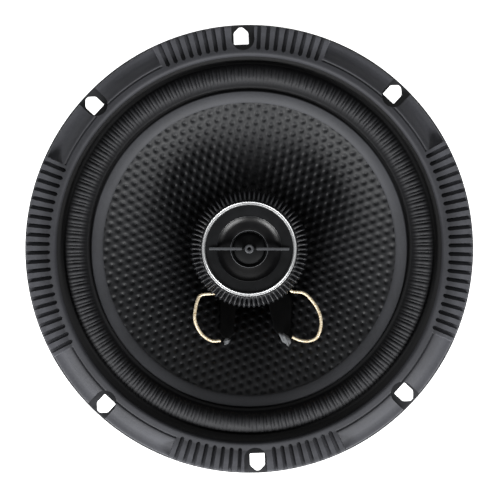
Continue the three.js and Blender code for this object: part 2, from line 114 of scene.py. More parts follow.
floor_bm = bmesh.new()
bmesh.ops.create_grid(floor_bm, x_segments=8, y_segments=8, size=6)
floor_mesh = bpy.data.meshes.new("floor")
floor_bm.to_mesh(floor_mesh)
floor_bm.free()
floor = bpy.data.objects.new("floor", floor_mesh)
floor.location.z = -0.2 * MM
scene.collection.objects.link(floor)
floor_paint, _, _ = shader("studio_floor", {
    "Base Color": linear("#f4f5f6"), "Roughness": 0.9,
    "Emission Color": linear("#ffffff"), "Emission Strength": 1.0,
})
floor_mesh.materials.append(floor_paint)

world = bpy.data.worlds.new("studio")
world.use_nodes = True
world.node_tree.nodes["Background"].inputs["Color"].default_value = linear("#ffffff")
world.node_tree.nodes["Background"].inputs["Strength"].default_value = 0.065
scene.world = world


def soft_box(name, place, size, watts, aim=(0, 0, 0.05)):
    """A rectangular area light at a place, aimed at the speaker."""
    data = bpy.data.lights.new(name, "AREA")
    data.shape = "RECTANGLE"
    data.size, data.size_y = size
    data.energy = watts
    light = bpy.data.objects.new(name, data)
    light.location = place
    light.rotation_euler = (Vector(aim) - Vector(place)).to_track_quat("-Z", "Y").to_euler()
    scene.collection.objects.link(light)


soft_box("key_left", (-0.97, -1.07, 0.8), (0.9, 0.5), 34)
soft_box("key_right", (0.76, -1.22, 0.8), (0.9, 0.5), 34)
soft_box("fill", (0.1, 0.75, 1.35), (0.9, 0.9), 3.2)


# ---- Tinsel leads --------------------------------------------------------------------------
# Flexible tinsel cord, gold coloured strands twisted over a cotton core. Two loop out over the
# cone from the tweeter's lugs to the eyelets, and two hang behind it from the terminals.

LEAD_RADIUS = 0.6
STRANDS = 3
STRAND_PITCH = 2.6
LEAD_ROUTES = {
    "tweeter_lead_left": [
        (-9.2, -13.6, 48.8), (-11.2, -15.8, 48.8), (-14.6, -16.1, 49.0), (-18.4, -16.4, 49.4),
        (-19.9, -18.2, 49.7), (-20.9, -21.6, 50.1), (-21.3, -25.4, 50.2), (-20.2, -29.0, 49.8),
        (-18.2, -31.9, 49.0), (-15.2, -33.8, 47.9), (-12.2, -33.9, 46.8)],
    "tweeter_lead_right": [
        (11.4, -12.2, 48.8), (13.6, -14.6, 48.8), (15.5, -16.4, 49.0), (19.1, -17.0, 49.4),
        (21.4, -18.6, 49.7), (24.1, -22.3, 50.1), (25.5, -26.0, 50.3), (25.6, -30.0, 50.1),
        (24.0, -33.9, 49.4), (21.1, -35.2, 48.6), (17.9, -34.9, 47.8), (14.9, -33.6, 47.1)],
    "woofer_lead_left": [
        (-11, -50.2, 33.8), (-13, -50.4, 35.6), (-16, -49.4, 37.6), (-19, -47, 38.6),
        (-20.6, -43.5, 38.6), (-20.2, -39.9, 38.1), (-17.6, -36.9, 37.9), (-14.1, -35.1, 38.3),
        (-11.2, -34.1, 39.6), (-9.7, -33.9, 41.3)],
    "woofer_lead_right": [
        (11, -50.2, 33.8), (13.1, -50.3, 35.8), (16.4, -49.3, 37.9), (19.8, -47, 38.9),
        (21.8, -43.4, 38.8), (21.7, -39.5, 38.1), (19.4, -36.5, 37.9), (16.3, -34.9, 38.5),
        (13.6, -34.2, 39.8), (12.3, -34.1, 41.7)],
}


def smooth_route(points, per_span=12):
    """Points of a Catmull-Rom curve through given ones."""
    ends = [Vector(p) for p in points]
    ends = [2 * ends[0] - ends[1], *ends, 2 * ends[-1] - ends[-2]]
    route = []
    for a, b, c, d in zip(ends, ends[1:], ends[2:], ends[3:]):
        for step in range(per_span):
            t = step / per_span
            route.append(0.5 * (2 * b + (c - a) * t + (2 * a - 5 * b + 4 * c - d) * t * t
                                + (3 * b - a - 3 * c + d) * t ** 3))
    return [*route, ends[-2]]


def twisted_cord(route, radius, sides=18):
    """A tube along the route whose section is a few round strands that turn as it goes."""
    bm = bmesh.new()
    travelled = 0.0
    direction = (route[1] - route[0]).normalized()
    across = direction.orthogonal().normalized()
    last_ring = None
    for index, point in enumerate(route):
        ahead = route[min(index + 1, len(route) - 1)] - route[max(index - 1, 0)]
        direction = ahead.normalized()
        across = (across - direction * across.dot(direction)).normalized()
        up = direction.cross(across)
        if index:
            travelled += (point - route[index - 1]).length
        spin = 2 * math.pi * travelled / STRAND_PITCH
        circle = bmesh.ops.create_circle(bm, segments=sides, radius=radius)["verts"]
        for vert in circle:
            angle = math.atan2(vert.co.y, vert.co.x)
            reach = radius * (0.9 + 0.1 * abs(math.cos(STRANDS * (angle - spin) / 2)) * 1.6 - 0.05)
            vert.co = point + (across * math.cos(angle) + up * math.sin(angle)) * reach
        ring = list({edge for vert in circle for edge in vert.link_edges})
        if last_ring:
            bmesh.ops.bridge_loops(bm, edges=last_ring + ring)
        last_ring = ring
    bmesh.ops.holes_fill(bm, edges=bm.edges, sides=sides)
    return bm


def as_object(bm, name, material, sharp_angle=35):
    """A finished mesh object from a bmesh in millimetres, with smooth faces and crisp edges."""
    bmesh.ops.scale(bm, vec=(MM, MM, MM), verts=bm.verts)
    bmesh.ops.recalc_face_normals(bm, faces=bm.faces)
    mesh = bpy.data.meshes.new(name)
    bm.to_mesh(mesh)
    bm.free()
    mesh.materials.append(material)
    mesh.shade_smooth()
    mesh.set_sharp_from_angle(angle=math.radians(sharp_angle))
    made = bpy.data.objects.new(name, mesh)
    scene.collection.objects.link(made)
    return made


def tinsel():
    """Gold tinsel cord: foil strands glint warm cream, and the gaps between them go brown."""
    material, tree, principled = shader("gold_tinsel", {
        "Metallic": 0.35, "Roughness": 0.38,
    })
    place = put(tree, "ShaderNodeTexCoord").outputs["Object"]
    strands = put(tree, "ShaderNodeTexNoise", {
        "Vector": place, "Scale": 1 / (0.5 * MM), "Detail": 3.0,
    })
    ramp = put(tree, "ShaderNodeValToRGB", {"Fac": strands.outputs["Fac"]},
               stops=[(0.3, "#a98c5c"), (0.62, "#fff3d8")])
    tree.links.new(ramp.outputs["Color"], principled.inputs["Base Color"])
    bump = put(tree, "ShaderNodeBump", {
        "Height": strands.outputs["Fac"], "Distance": 0.08 * MM, "Strength": 0.6,
    })
    tree.links.new(bump.outputs["Normal"], principled.inputs["Normal"])
    return material


gold_tinsel = tinsel()
for lead_name, hand_points in LEAD_ROUTES.items():
    lead_path = smooth_route(hand_points)
    lead = as_object(twisted_cord(lead_path, LEAD_RADIUS), f"{lead_name}_cord", gold_tinsel, 60)
    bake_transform(lead)
    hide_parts(lead_name)


# ---- Motor: T-yoke, ferrite ring and top plate ---------------------------------------------
# The yoke and plate are cold-forged steel, turned on their faces and zinc plated. The magnet is
# a sintered ring, ground flat on both sides and glued between them.

MAGNET = {"bore": 20, "outer": 45, "low": 5.15, "high": 19.85}
PLATE = {"bore": 13.7, "outer": 40, "low": 20, "high": 25}
YOKE = {"outer": 40, "thick": 5, "pole": 11.9, "top": 26, "bore": 2.4, "recess": 5, "depth": 3.6}


def rounded(corners, steps=4):
    """A closed outline of (radius, height, rounding) corners, with each corner turned to an arc."""
    outline = []
    for index, (x, y, *rounding) in enumerate(corners):
        corner = Vector((x, y))
        if not rounding:
            outline.append(corner)
            continue
        before = Vector(corners[index - 1][:2])
        after = Vector(corners[(index + 1) % len(corners)][:2])
        start = corner + (before - corner).normalized() * rounding[0]
        end = corner + (after - corner).normalized() * rounding[0]
        for step in range(steps + 1):
            t = step / steps
            outline.append(start * (1 - t) ** 2 + corner * 2 * t * (1 - t) + end * t * t)
    return outline


def swung(bm, degrees):
    """The same bmesh turned round the speaker's axis."""
    bmesh.ops.rotate(bm, cent=(0, 0, 0), verts=bm.verts,
                     matrix=Matrix.Rotation(math.radians(degrees), 3, "Z"))
    return bm


def merged(*pieces):
    """Several bmeshes gathered into one."""
    gathered = bmesh.new()
    for bm in pieces:
        scrap = bpy.data.meshes.new("part")
        bm.to_mesh(scrap)
        bm.free()
        gathered.from_mesh(scrap)
        bpy.data.meshes.remove(scrap)
    return gathered


def copies_round(bm, angles):
    """Turns a bmesh into several copies of itself at angles round the axis."""
    copies = [swung(bm.copy(), angle) for angle in angles]
    bm.free()
    return merged(*copies)


def turned(outline, steps=96, closed=True):
    """A bmesh of the outline spun right round the speaker's axis, in 12 equal parts."""
    part = bmesh.new()
    verts = [part.verts.new((radius, 0, height)) for radius, height in outline]
    edges = [part.edges.new(pair) for pair in zip(verts, verts[1:])]
    if closed:
        edges.append(part.edges.new((verts[-1], verts[0])))
    bmesh.ops.spin(part, geom=verts + edges, cent=(0, 0, 0), axis=(0, 0, 1),
                   angle=math.radians(30), steps=steps // 12)
    whole = copies_round(part, range(0, 360, 30))
    bmesh.ops.remove_doubles(whole, verts=whole.verts, dist=0.0005)
    bmesh.ops.recalc_face_normals(whole, faces=whole.faces)
    return whole


def place_piece(made, body, slot, *nodes):
    """Rides a finished piece on its body, in place of the plain solids it stands for."""
    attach(made, body)
    if nodes:
        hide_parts(*nodes)
    return made


def zinc_plate():
    """Zinc plated steel, turned: rings about 1 mm apart, coarser than a lathe leaves so that they
    show, run round the face and give a fanned glint."""
    material, tree, principled = shader("zinc_plated_steel", {"Metallic": 1.0})
    place = put(tree, "ShaderNodeTexCoord").outputs["Object"]
    rings = put(tree, "ShaderNodeTexWave", {
        "Vector": place, "Scale": 1 / (3.0 * MM), "Distortion": 0.4, "Detail": 2.0,
    }, wave_type="RINGS", rings_direction="Z")
    cloud = put(tree, "ShaderNodeTexNoise", {"Vector": place, "Scale": 1 / (9 * MM), "Detail": 5.0})
    ramp = put(tree, "ShaderNodeValToRGB", {"Fac": cloud.outputs["Fac"]},
               stops=[(0, "#77797b"), (1, "#b4b6b5")])
    rough = put(tree, "ShaderNodeMapRange", {
        "Value": cloud.outputs["Fac"], "To Min": 0.28, "To Max": 0.5,
    })
    bump = put(tree, "ShaderNodeBump", {
        "Height": rings.outputs["Fac"], "Distance": 0.02 * MM, "Strength": 0.35,
    })
    tree.links.new(ramp.outputs["Color"], principled.inputs["Base Color"])
    tree.links.new(rough.outputs["Result"], principled.inputs["Roughness"])
    tree.links.new(bump.outputs["Normal"], principled.inputs["Normal"])
    return material


# A zone's place on its ramp is its radius as a share of this one, which is past the flange.
ZONE_SPAN = 100


def speckled(name, dark, light, grain, rough, depth, metallic=0.0, sockets=None, tone_and_painted_light_zones=None,
             painted_shade_on_sheen=False):
    """A material with a fine random grain: two close colours, a roughness range and a bump. Radius bands,
    given as (radius, tint) pairs in order, multiply the colour by a tint that changes evenly between them;
    they carry the material's own tone and also painted light and shade. When asked, the same tint also
    darkens the gloss, as painted shade on the sheen."""
    material, tree, principled = shader(name, {"Metallic": metallic, **(sockets or {})})
    place = put(tree, "ShaderNodeTexCoord").outputs["Object"]
    fine = put(tree, "ShaderNodeTexNoise", {"Vector": place, "Scale": 1 / (grain * MM), "Detail": 4.0})
    broad = put(tree, "ShaderNodeTexNoise", {"Vector": place, "Scale": 1 / (14 * MM), "Detail": 3.0})
    mixed = put(tree, "ShaderNodeMath", {0: fine.outputs["Fac"], 1: broad.outputs["Fac"]},
                operation="ADD")
    halved = put(tree, "ShaderNodeMath", {0: mixed.outputs[0], 1: 0.5}, operation="MULTIPLY")
    ramp = put(tree, "ShaderNodeValToRGB", {"Fac": halved.outputs[0]},
               stops=[(0.35, dark), (0.65, light)])
    shine = put(tree, "ShaderNodeMapRange", {
        "Value": fine.outputs["Fac"], "From Min": 0.3, "From Max": 0.7,
        "To Min": rough[0], "To Max": rough[1],
    })
    bump = put(tree, "ShaderNodeBump", {
        "Height": fine.outputs["Fac"], "Distance": depth * MM, "Strength": 0.5,
    })
    colour = ramp.outputs["Color"]
    # Colour by radius: the material's own tone, and painted light and shade.
    if tone_and_painted_light_zones:
        flat = put(tree, "ShaderNodeVectorMath", {0: place, 1: (1, 1, 0)}, operation="MULTIPLY")
        radius = put(tree, "ShaderNodeVectorMath", {0: flat.outputs[0]}, operation="LENGTH")
        share = put(tree, "ShaderNodeMath", {0: radius.outputs["Value"], 1: ZONE_SPAN * MM},
                    operation="DIVIDE")
        tint = put(tree, "ShaderNodeValToRGB", {"Fac": share.outputs[0]},
                   stops=[(at / ZONE_SPAN, hex_colour) for at, hex_colour in tone_and_painted_light_zones])
        tinted = put(tree, "ShaderNodeMix", {
            "Factor": 1.0, "A": colour, "B": tint.outputs["Color"],
        }, data_type="RGBA", blend_type="MULTIPLY")
        colour = tinted.outputs["Result"]
        # Painted shade on the sheen: the radius tint also darkens the gloss.
        if painted_shade_on_sheen:
            tree.links.new(tint.outputs["Color"], principled.inputs["Specular Tint"])
    tree.links.new(colour, principled.inputs["Base Color"])
    tree.links.new(shine.outputs["Result"], principled.inputs["Roughness"])
    tree.links.new(bump.outputs["Normal"], principled.inputs["Normal"])
    return material


zinc = zinc_plate()
yoke = turned(rounded([
    (YOKE["bore"], YOKE["depth"], 0.3), (YOKE["recess"], YOKE["depth"], 0.3),
    (YOKE["recess"], 0, 0.4), (YOKE["outer"], 0, 0.9),
    (YOKE["outer"], YOKE["thick"], 0.4), (YOKE["pole"], YOKE["thick"], 0.3),
    (YOKE["pole"], YOKE["top"], 0.5), (YOKE["bore"], YOKE["top"], 0.3),
]), 128)
place_piece(as_object(yoke, "yoke_forging", zinc), "basket", "zinc_plate", "t_yoke")

# Sintered and ground ferrite is a dry dark grey that hardly shines.
ferrite = speckled("sintered_ferrite", "#232325", "#3a3a3c", 0.5, (0.7, 0.95), 0.05)
ring = turned(rounded([
    (MAGNET["bore"], MAGNET["low"], 0.5), (MAGNET["outer"], MAGNET["low"], 1.0),
    (MAGNET["outer"], MAGNET["high"], 1.0), (MAGNET["bore"], MAGNET["high"], 0.5),
]), 160)
place_piece(as_object(ring, "ferrite_ring", ferrite), "basket", "ferrite", "magnet")

plate = turned(rounded([
    (PLATE["bore"], PLATE["low"], 0.3), (PLATE["outer"], PLATE["low"], 0.5),
    (PLATE["outer"], PLATE["high"], 0.5), (PLATE["bore"], PLATE["high"], 0.3),
]), 128)
place_piece(as_object(plate, "front_plate", zinc), "basket", "zinc_plate", "top_plate")


# ---- Basket --------------------------------------------------------------------------------
# One deep-drawn steel pressing under black electrophoretic paint, with six spokes, a shelf for
# the spider and a flange with six slots. Four rivets hold it to the top plate.

FLANGE = {"radius": 83, "under": 56, "top": 57.2}
SPOKES = 6
SPOKE_WIDTH = 14
WINDOW = {"inner": 51.4, "outer": 67}
SLOTS = {"circle": 78.9, "width": 5.5, "length": 6.4, "angles": (45, 90, 135, 225, 270, 315)}
SHELF_TOP = 30.8


def outline_prism(outline, low, high):
    """A bmesh prism over a flat outline of (x, y) points."""
    bm = bmesh.new()
    base = bm.faces.new([bm.verts.new((x, y, low)) for x, y in outline])
    raised = bmesh.ops.extrude_face_region(bm, geom=[base])["geom"]
    bmesh.ops.translate(bm, vec=(0, 0, high - low),
                        verts=[g for g in raised if isinstance(g, bmesh.types.BMVert)])
    bmesh.ops.recalc_face_normals(bm, faces=bm.faces)
    return bm


def cut(body_bm, *tools):
    """The body with the tools' solids cut away."""
    meshes = []
    for index, bm in enumerate((body_bm, *tools)):
        mesh = bpy.data.meshes.new(f"cut_{index}")
        bm.to_mesh(mesh)
        bm.free()
        made = bpy.data.objects.new(mesh.name, mesh)
        scene.collection.objects.link(made)
        meshes.append(made)
    blank, *cutters = meshes
    for cutter in cutters:
        change = blank.modifiers.new("cut", "BOOLEAN")
        change.operation = "DIFFERENCE"
        change.solver = "MANIFOLD"
        change.object = cutter
    depsgraph = bpy.context.evaluated_depsgraph_get()
    result = bmesh.new()
    result.from_mesh(blank.evaluated_get(depsgraph).to_mesh())
    for made in meshes:
        mesh = made.data
        bpy.data.objects.remove(made)
        bpy.data.meshes.remove(mesh)
    return result


def arc_points(centre, radius, start, end, steps):
    """Points of an arc in the flat, between two angles in degrees."""
    angles = [math.radians(start + (end - start) * i / steps) for i in range(steps + 1)]
    return [(centre[0] + radius * math.cos(a), centre[1] + radius * math.sin(a)) for a in angles]


def window_outline():
    """One window between two spokes of constant width, with its corners eased."""
    half = math.radians(180 / SPOKES)
    corners = []
    for radius, side in ((WINDOW["inner"], -1), (WINDOW["outer"], -1),
                         (WINDOW["outer"], 1), (WINDOW["inner"], 1)):
        along = radius * math.cos(half) + SPOKE_WIDTH / 2 * math.sin(half)
        across = radius * math.sin(half) - SPOKE_WIDTH / 2 * math.cos(half)
        corners.append((along, side * across))
    near_low, far_low, far_high, near_high = corners
    far_reach = math.hypot(*far_high)
    far_angle = math.degrees(math.atan2(far_high[1], far_high[0])) - 3
    near_reach = math.hypot(*near_high)
    near_angle = math.degrees(math.atan2(near_high[1], near_high[0])) - 3.5
    far_arc = arc_points((0, 0), far_reach, -far_angle, far_angle, 24)
    near_arc = arc_points((0, 0), near_reach, near_angle, -near_angle, 20)
    low_edge = [Vector(near_low).lerp(Vector(far_low), t) for t in (0.2, 0.8)]
    high_edge = [Vector(far_high).lerp(Vector(near_high), t) for t in (0.2, 0.8)]
    return [*map(tuple, low_edge), *far_arc, *map(tuple, high_edge), *near_arc]


def slot_outline(width, inner, outer):
    """A mounting slot along +X: square at its inner end and round at its outer one."""
    half = width / 2
    return [(inner, -half + 0.3), (inner + 0.2, -half), (outer - 2.3, -half), (outer - 1.7, -half + 0.3),
            (outer - 0.35, -half + 1.7), (outer, -0.5), (outer, 0.5), (outer - 0.35, half - 1.7),
            (outer - 1.7, half - 0.3), (outer - 2.3, half), (inner + 0.2, half), (inner, half - 0.3)]


# Electrophoretic paint gives an even satin black with a faint orange peel a millimetre across.
painted = speckled("black_electrophoretic_paint", "#222326", "#2b2c2f", 1.2, (0.45, 0.55), 0.012)
basket_blank = turned(rounded([
    (24, 25.1, 0.4), (41, 25.1, 1.2), (43.3, 26.2, 0.8), (44.2, 29.6, 0.6), (50.2, 29.6, 0.8),
    (51.6, 30.5, 0.8), (56.2, 36.6, 4), (65.6, 47.1, 4), (68.9, 54.4, 1.2),
    (69.8, FLANGE["under"], 0.6), (FLANGE["radius"], FLANGE["under"], 0.4),
    (FLANGE["radius"], FLANGE["top"], 0.4), (69.1, FLANGE["top"], 1.4), (67.7, 54.8, 1.2),
    (64.5, 47.9, 4), (55.1, 37.4, 4), (50.7, SHELF_TOP + 0.7, 0.8), (49.6, SHELF_TOP, 0.6),
    (43.2, SHELF_TOP, 0.8), (42.2, 27.1, 0.6), (40.6, 26.3, 1.0), (24, 26.3, 0.4),
]), 192)
windows = copies_round(outline_prism(window_outline(), 27, 53),
                       [360 / SPOKES * i for i in range(SPOKES)])
slots = copies_round(
    outline_prism(slot_outline(SLOTS["width"], SLOTS["circle"] - SLOTS["length"] / 2,
                               SLOTS["circle"] + SLOTS["length"] / 2), 54, 60),
    SLOTS["angles"])
basket = as_object(cut(basket_blank, windows, slots), "basket_pressing", painted)
edge_round = basket.modifiers.new("rolled_edges", "BEVEL")
edge_round.width = 0.25 * MM
edge_round.segments = 2
edge_round.limit_method = "ANGLE"
edge_round.angle_limit = math.radians(50)
edge_round.harden_normals = True
place_piece(basket, "basket", "black_paint", "basket")

RIVET_CIRCLE = 32
# Bright zinc on cold-formed steel gives small sharp glints, softened by its grain.
rivet_zinc = speckled("zinc_plated_rivet", "#8b8e90", "#b1b3b3", 0.6, (0.25, 0.45), 0.02, 1.0)
for index, angle in enumerate((45, 135, 225, 315)):
    rivet = turned(rounded([
        (0, 20.3), (2.0, 20.3, 0.2), (2.0, 26.45, 0.1), (3.5, 26.45, 0.3), (3.1, 27.6, 0.5),
        (1.2, 28.0, 0.4), (0, 28.0),
    ]), 32, closed=False)
    bmesh.ops.translate(rivet, verts=rivet.verts,
                        vec=(RIVET_CIRCLE * math.cos(math.radians(angle)),
                             RIVET_CIRCLE * math.sin(math.radians(angle)), 0))
    place_piece(as_object(rivet, f"domed_rivet_{index + 1}", rivet_zinc),
                "basket", "rivet_steel", f"basket_rivet_{index + 1}")


# ---- Terminals -----------------------------------------------------------------------------
# A punched phenolic board is riveted to an ear of the basket. Two tinned brass blades of
# different widths are staked through it, and their inner ends fold up into solder hooks.

BOARD = {"half": 15, "front": -62, "back": -52.6, "low": 27.9, "high": 29.5}
TABS = {"terminal_tab_positive": (11, 6.3), "terminal_tab_negative": (-11, 4.8)}


def block(low, high, edge=0.2, segments=2):
    """A box between two corners with its edges bevelled."""
    bm = bmesh.new()
    bmesh.ops.create_cube(bm, size=1)
    for vert in bm.verts:
        vert.co = Vector([(a + b) / 2 + c * (b - a) for a, b, c in zip(low, high, vert.co)])
    if edge:
        bmesh.ops.bevel(bm, geom=bm.edges, offset=edge, segments=segments, profile=0.5,
                        affect="EDGES", material=-1)
    return bm


def moved(bm, x=0, y=0, z=0):
    """The same bmesh shifted."""
    bmesh.ops.translate(bm, verts=bm.verts, vec=(x, y, z))
    return bm


place_piece(as_object(block((-6, -61, 29.6), (6, -48.4, 30.75), 0.3), "terminal_ear", painted),
            "basket", "black_paint")
# Pressed paper and resin gives a mottled brown with a dull gloss.
phenolic = speckled("phenolic_board", "#3a2a1c", "#54402c", 0.8, (0.4, 0.6), 0.02)
place_piece(as_object(block((-BOARD["half"], BOARD["front"], BOARD["low"]),
                            (BOARD["half"], BOARD["back"], BOARD["high"]), 0.25),
                      "terminal_card", phenolic), "basket", "terminal_board", "terminal_board")
for number, x in ((1, -4), (2, 4)):
    ear_rivet = turned(rounded([
        (0, 27.0), (1.9, 27.0, 0.3), (1.9, 27.85, 0.1), (1.25, 27.9, 0.1), (1.25, 30.8, 0.1),
        (2.0, 30.85, 0.3), (1.6, 31.5, 0.3), (0, 31.6),
    ]), 24, closed=False)
    place_piece(as_object(moved(ear_rivet, x, -56.5), f"ear_rivet_{number}", rivet_zinc),
                "basket", "rivet_steel", f"terminal_rivet_{number}")

# A thin tin coat on brass gives a pale yellow metal with soft glints.
brass = speckled("tinned_brass", "#9a8a5e", "#c2b288", 0.7, (0.22, 0.4), 0.015, 1.0)
for node, (x, width) in TABS.items():
    half = width / 2
    outline = [(x - half, -52.3), (x - half, -70.8), (x - half + 1.2, -72),
               (x + half - 1.2, -72), (x + half, -70.8), (x + half, -52.3)]
    blade = outline_prism(outline, 27.0, 27.8)
    hole = turned([(0, 26), (0.9, 26), (0.9, 29), (0, 29)], 24, closed=False)
    hook = block((x - 1.3, -52.32, 27.0), (x + 1.3, -51.5, 34.4), 0.2)
    tab = merged(cut(blade, moved(hole, x, -67.5)), hook)
    tab_piece = as_object(tab, f"{node}_blade", brass)
    place_piece(tab_piece, "basket", "tab_brass", node)


# ---- Voice coil ----------------------------------------------------------------------------
# Round copper wire wound in one layer on a thin polyimide tube. The tube slides over the pole
# in the gap and is bonded into the cone's neck at its upper end.

FORMER = {"inner": 12.4, "outer": 12.65, "low": 15.5, "high": 37}
WINDING = {"inner": 12.72, "valley": 13.02, "shoulder": 13.16, "crest": 13.2, "low": 17, "high": 28,
           "turns": 38}

# Amber polyimide film is smooth and glossy, with a slow drift of colour.
polyimide = speckled("polyimide_film", "#93541a", "#b5701f", 2.0, (0.22, 0.34), 0.004)
former = turned([(FORMER["inner"], FORMER["low"]), (FORMER["outer"], FORMER["low"]),
                 (FORMER["outer"], FORMER["high"]), (FORMER["inner"], FORMER["high"])], 96)
place_piece(as_object(former, "coil_former", polyimide), "cone", "former_film", "voice_coil_former")

# Enamelled wire gives a deep copper red that glints on every turn.
copper = speckled("enamelled_copper_wire", "#7c3a1e", "#a9562c", 0.4, (0.25, 0.4), 0.01, 1.0)
wire_pitch = (WINDING["high"] - WINDING["low"]) / WINDING["turns"]
turns_outline = [(WINDING["inner"], WINDING["high"]), (WINDING["inner"], WINDING["low"])]
for turn in range(WINDING["turns"]):
    low = WINDING["low"] + turn * wire_pitch
    turns_outline += [(WINDING["valley"], low), (WINDING["shoulder"], low + wire_pitch * 0.25),
                      (WINDING["crest"], low + wire_pitch * 0.5),
                      (WINDING["shoulder"], low + wire_pitch * 0.75)]
turns_outline.append((WINDING["valley"], WINDING["high"]))
place_piece(as_object(turned(turns_outline, 96), "coil_winding", copper),
            "cone", "coil_copper", "voice_coil_winding")


# ---- Spider --------------------------------------------------------------------------------
# The rear suspension: woven cotton stiffened with resin and hot pressed into rolls. Its flat
# rim is glued to the basket's shelf and its cuff to the voice coil former.

SPIDER = {"bore": 12.8, "cuff": 15, "rim_inner": 41.2, "rim_outer": 48.4, "level": 31, "rolls": 4,
          "roll_height": 1.1, "cloth": 0.6}


def clamp(value):
    """The value kept between 0 and 1."""
    return min(1.0, max(0.0, value))


def smoothstep(low, high, value):
    """A share that eases from 0 at the low value to 1 at the high one."""
    t = clamp((value - low) / (high - low))
    return t * t * (3 - 2 * t)


def bend_round(piece):
    """Bakes a disc's placement into its mesh; it does not bend it."""
    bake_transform(piece)


def spider_wave(offset):
    """Points of the pressed rolls from the cuff to the flat rim."""
    steps = SPIDER["rolls"] * 12
    width = SPIDER["rim_inner"] - SPIDER["cuff"]
    return [(SPIDER["cuff"] + width * i / steps,
             SPIDER["level"] + offset
             + math.sin(2 * math.pi * SPIDER["rolls"] * i / steps) * SPIDER["roll_height"])
            for i in range(steps + 1)]


def woven_cloth():
    """Resined cotton weave: crossing threads 0.8 mm apart, tan yarn with browner gaps."""
    material, tree, principled = shader("resined_cotton_cloth", {"Roughness": 0.8})
    place = put(tree, "ShaderNodeTexCoord").outputs["Object"]
    threads = []
    for axis in ("X", "Y"):
        threads.append(put(tree, "ShaderNodeTexWave", {
            "Vector": place, "Scale": 1 / (0.8 * MM) / 3.14, "Distortion": 0.6, "Detail": 1.0,
        }, wave_type="BANDS", bands_direction=axis).outputs["Fac"])
    weave = put(tree, "ShaderNodeMath", {0: threads[0], 1: threads[1]}, operation="MAXIMUM")
    ramp = put(tree, "ShaderNodeValToRGB", {"Fac": weave.outputs[0]},
               stops=[(0, "#6f5630"), (1, "#b3935c")])
    bump = put(tree, "ShaderNodeBump", {
        "Height": weave.outputs[0], "Distance": 0.12 * MM, "Strength": 0.7,
    })
    tree.links.new(ramp.outputs["Color"], principled.inputs["Base Color"])
    tree.links.new(bump.outputs["Normal"], principled.inputs["Normal"])
    return material


spider_top = SPIDER["level"] + SPIDER["cloth"]
spider_section = [
    (SPIDER["bore"], SPIDER["level"]), *spider_wave(0), (SPIDER["rim_outer"], SPIDER["level"]),
    (SPIDER["rim_outer"], spider_top), *reversed(spider_wave(SPIDER["cloth"])),
    (SPIDER["bore"] + 0.8, SPIDER["level"] + 0.8), (SPIDER["bore"], SPIDER["level"] + 1.4),
]
spider = as_object(turned(spider_section, 160), "pressed_spider", woven_cloth(), 80)
bend_round(spider)
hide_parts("spider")


# ---- Cone ----------------------------------------------------------------------------------
# Injection moulded black polypropylene. Its face is covered in round dimples that touch in a
# hexagonal lattice, so only a thin net stands between them, and it fades out to the neck.

NECK = (12.85, 33.5)
RIM = (58, 55.6)
WALL = 0.7
SLOPE = (RIM[1] - NECK[1]) / (RIM[0] - NECK[0])
DIMPLE = {"depth": 1.4, "land": 0.12, "wave": 2.9, "directions": (-12.2, 47.8, -72.2), "start": 18,
          "full": 24}
DIMPLED = (19, 56)


def cone_height(radius):
    """Height of the cone's face at a radius."""
    return NECK[1] + (radius - NECK[0]) * SLOPE


def dimple(x, y):
    """How far the face is sunk by the dimples at a point."""
    total = 0.0
    for direction in DIMPLE["directions"]:
        a = math.radians(direction)
        total += math.cos(2 * math.pi * (x * math.cos(a) + y * math.sin(a)) / DIMPLE["wave"])
    share = (total / 3 + 0.5) / 1.5
    radius = math.hypot(x, y)
    outward = clamp((radius - 30) / 22)
    away = math.sqrt(max(0.0, 1 - share) / (1 - DIMPLE["land"] - 0.1 * outward))
    pit = max(0.0, 1 - math.hypot(away, 0.12)) ** 0.95 * (1 - 0.3 * outward)
    fade = clamp((radius - DIMPLE["start"]) / (DIMPLE["full"] - DIMPLE["start"]))
    return DIMPLE["depth"] * pit * fade ** 0.8


CONE_COLUMNS = 1020
face_radii = [14.25, 16, 18] + [19.6 + 0.425 * i for i in range(83)] + [55.2, 58]
cone_section = [
    NECK, (NECK[0] + 1, NECK[1] - 0.2), (34, cone_height(34) - WALL), (RIM[0], RIM[1] - WALL), RIM,
    *[(r, cone_height(r)) for r in reversed(face_radii[:-1])], (NECK[0], NECK[1] + 2),
]
cone_bm = turned(cone_section, CONE_COLUMNS)
for vert in cone_bm.verts:
    radius = math.hypot(vert.co.x, vert.co.y)
    if DIMPLED[0] < radius < DIMPLED[1] and vert.co.z > cone_height(radius) - 0.3:
        vert.co.z -= dimple(vert.co.x, vert.co.y) * min(1, (DIMPLED[1] - radius) / 0.5)
# Moulded polypropylene is a soft satin black. Towards the neck its colour and its shine are darkened by
# painted shade, where the tweeter stands over the cone.
polypropylene = speckled("black_polypropylene", "#1b1c1e", "#232426", 1.6, (0.5, 0.6), 0.01,
                         sockets={"Specular IOR Level": 0.33}, painted_shade_on_sheen=True,
                         tone_and_painted_light_zones=[(20, "#303031"), (25, "#6c6c6e"), (31, "#b4b4b6"), (40, "#dcdcdd"),
                                (50, "#ffffff")])
cone_piece = as_object(cone_bm, "cone_moulding", polypropylene, 70)
place_piece(cone_piece, "cone", "cone_polypropylene", "cone")


# ---- Solder eyelets ------------------------------------------------------------------------
# A tinned eyelet goes through the cone where the two leads of each side meet. The joint on it is
# a rough lump of dull solder.

EYELETS = {"left": (-9.7, -33.9), "right": (12.3, -34.1)}
PIN = {"radius": 0.95, "below": 2.6, "above": 0.6}
BLOBS = {"left": ((1.4, 1.0), 40, (-0.1, -0.3)), "right": ((2.9, 1.4), -55, (0.0, -0.1))}
